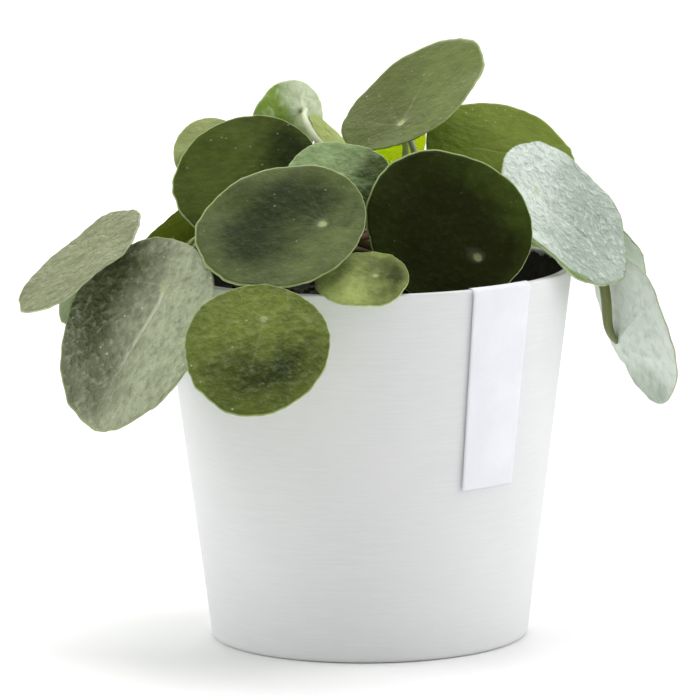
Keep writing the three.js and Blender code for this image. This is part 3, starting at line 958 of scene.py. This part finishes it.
# %% The pot's wall, spun from its profile
pot_spokes = 192
level_only = Vector((1, 1, 0))
pot = bmesh.new()
points = [pot.verts.new((x, 0, z)) for x, z in profile]
edges = [pot.edges.new(pair) for pair in zip(points, points[1:])]
bmesh.ops.spin(
    pot, geom=points + edges, cent=(0, 0, 0), axis=(0, 0, 1), angle=math.tau,
    steps=pot_spokes, use_merge=True)
bmesh.ops.remove_doubles(pot, verts=pot.verts, dist=weld_distance)
bmesh.ops.recalc_face_normals(pot, faces=pot.faces)
for face in pot.faces:
    looks_inward = face.normal.dot(face.calc_center_median() * level_only) < 0
    face.material_index = int(looks_inward)
finish_piece(pot, "pot_shell", [pot_finish(), inner_finish()], ["pot"])
print("pot:", round(2 * rim_radius / mm), "mm wide and", round(pot_height / mm), "mm high")

# %% [markdown]
# ## The label tape
#
# The label is a bare strip of soft white tape, hung over the rim. Its long part hangs down the
# outside and a short part lies inside. A cloth simulation could settle it, but stuck tape
# follows the wall, so a grid of faces is laid along the wall, over the lip and down the inside.
# It lifts a little at its left edge, which gives the thin shadow line that a real tape has.
# Solidify gives the paper its thickness.

# %% The tape's finish
def tape_finish():
    """Soft white woven-paper tape with a faint weave."""
    paper = Finish("label_tape", 0.6)
    fibres = paper.noise(paper.place, 900, 4.0)
    cloud = paper.noise(paper.place, 60, 3.0)
    colour = paper.blend(
        paper.span(cloud, 0.35, 0.7), paint(226, 228, 234), paint(233, 234, 240))
    colour = paper.blend(paper.span(fibres, 0.5, 0.8, 0.0, 0.3), colour, paint(216, 219, 226))
    return paper.done(colour, paper.bump(fibres, 0.0001, 0.4))


# %% The tape's course over the rim
tape_width, tape_outside, tape_inside = 27 * mm, 72.5 * mm, 8 * mm
tape_gap, tape_lift = 0.32 * mm, 0.35 * mm
tape_direction = math.radians(-49.6)


def tape_point(across, down):
    """A point of the tape: down is measured along it from its lower end."""
    lip = pot_wall / 2 + tape_gap
    lean = math.atan(slope)
    over, top = rim_radius - pot_wall / 2, pot_height - pot_wall / 2
    turn = math.pi * lip
    if down < tape_outside:
        below = tape_outside - down
        out, z = over + lip - below * math.sin(lean), top - below * math.cos(lean)
    elif down < tape_outside + turn:
        angle = (down - tape_outside) / lip
        out, z = over + lip * math.cos(angle), top + lip * math.sin(angle)
    else:
        below = down - tape_outside - turn
        out, z = over - lip - below * math.sin(lean), top - below * math.cos(lean)
    lifted = tape_lift * ease(-across / tape_width, 0.3, 0.5) * (down < tape_outside)
    angle = tape_direction + across / rim_radius
    return Vector(((out + lifted) * math.cos(angle), (out + lifted) * math.sin(angle), z))


print("the tape's lower end is at", round(tape_point(0, 0).z / mm, 1), "mm")

# %% The tape
tape_thickness = 0.25 * mm
tape_length = tape_outside + math.pi * (pot_wall / 2 + tape_gap) + tape_inside
tape = bmesh.new()
bmesh.ops.create_grid(tape, x_segments=24, y_segments=140, size=0.5)
for vert in tape.verts:
    vert.co = tape_point(vert.co.x * tape_width, (vert.co.y + 0.5) * tape_length)
tape.normal_update()
outwards = sum(face.normal.dot(face.calc_center_median() * level_only) for face in tape.faces)
if outwards < 0:
    bmesh.ops.reverse_faces(tape, faces=tape.faces)
tape_piece = finish_piece(tape, "tape_strip", [tape_finish()], ["label_tape"])
paper = tape_piece.modifiers.new("paper", "SOLIDIFY")
paper.thickness = tape_thickness
paper.offset = 1
print("tape:", round(tape_width / mm), "by", round(tape_length / mm, 1), "mm")

# %% [markdown]
# ## Floor, light and camera
#
# The plant stands on a pale floor in a bright room: a white world gives the even fill, two
# large soft lights stand at the left and at the right, one hangs above, and one behind lights
# only the far floor. A single strong lamp would be simpler, but it would throw hard shadows
# that the photo doesn't have. The camera is a long lens a few steps away, a little above the
# rim and looking slightly down.

# %% The floor
floor_reach = 9
floor = bmesh.new()
bmesh.ops.create_grid(floor, x_segments=1, y_segments=1, size=floor_reach)
floor_mesh = bpy.data.meshes.new("floor")
floor.to_mesh(floor_mesh)
floor.free()
floor_piece = bpy.data.objects.new("floor", floor_mesh)
bpy.context.collection.objects.link(floor_piece)
paper_white = Finish("floor_paper", 0.9)
fibre = paper_white.noise(paper_white.place, 30, 2.0)
paper_white.done(paper_white.blend(fibre, paint(250, 250, 250), paint(252, 252, 252)))
floor_mesh.materials.append(paper_white.material)
floor_piece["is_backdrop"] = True
print("floor:", 2 * floor_reach, "m wide")


# %% The lights
def soft_light(name, place, size, power, aim=(0, 0, 0.12)):
    """A large square light that looks at the plant."""
    lamp = bpy.data.lights.new(name, "AREA")
    lamp.shape, lamp.size, lamp.energy = "SQUARE", size, power
    light = bpy.data.objects.new(name, lamp)
    light.location = place
    light.rotation_euler = (Vector(aim) - Vector(place)).to_track_quat("-Z", "Y").to_euler()
    bpy.context.collection.objects.link(light)
    light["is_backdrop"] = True


soft_light("light_left", (-1.7, 0.1, 0.9), 1.2, 12)
soft_light("light_right", (1.7, 0.1, 1.0), 1.4, 15)
soft_light("light_above", (0.1, 0.3, 2.0), 1.6, 24)
soft_light("light_behind", (0, 3.0, 1.8), 2.2, 36, (0, 1.9, 0))
print("lights:", len(bpy.data.lights))

# %% The bright room all round
fill_strength = 0.52
world = bpy.data.worlds.new("bright_room")
world.use_nodes = True
fill = world.node_tree.nodes["Background"].inputs
fill["Color"].default_value = (1, 1, 1, 1)
fill["Strength"].default_value = fill_strength
bpy.context.scene.world = world
bpy.context.scene.view_settings.view_transform = "Standard"
print("fill light:", fill_strength)

# %% The camera
eye_point = (0, -2.5, 0.5032)
yaw, pitch, roll = math.radians(-0.16), math.radians(9.04), math.radians(-0.59)
forward = Vector((
    math.sin(yaw) * math.cos(pitch), math.cos(yaw) * math.cos(pitch), -math.sin(pitch)))
level = Vector((math.cos(yaw), -math.sin(yaw), 0))
upward = level.cross(forward)
right = math.cos(roll) * level + math.sin(roll) * upward
top = -math.sin(roll) * level + math.cos(roll) * upward
lens = bpy.data.cameras.new("camera")
lens.lens, lens.sensor_width = 360, 36
lens.clip_start, lens.clip_end = 0.1, 40
camera = bpy.data.objects.new("camera", lens)
camera.matrix_world = Matrix.Translation(eye_point) @ Matrix(
    (right, top, -forward)).transposed().to_4x4()
bpy.context.collection.objects.link(camera)
bpy.context.scene.camera = camera
print("camera", [round(part, 3) for part in camera.location])

# %% The size, and the end
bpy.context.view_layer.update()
triangles = 0
graph = bpy.context.evaluated_depsgraph_get()
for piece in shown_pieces():
    shown = piece.evaluated_get(graph)
    mesh = shown.to_mesh()
    triangles += sum(len(face.vertices) - 2 for face in mesh.polygons)
    shown.to_mesh_clear()
print("triangles:", triangles)
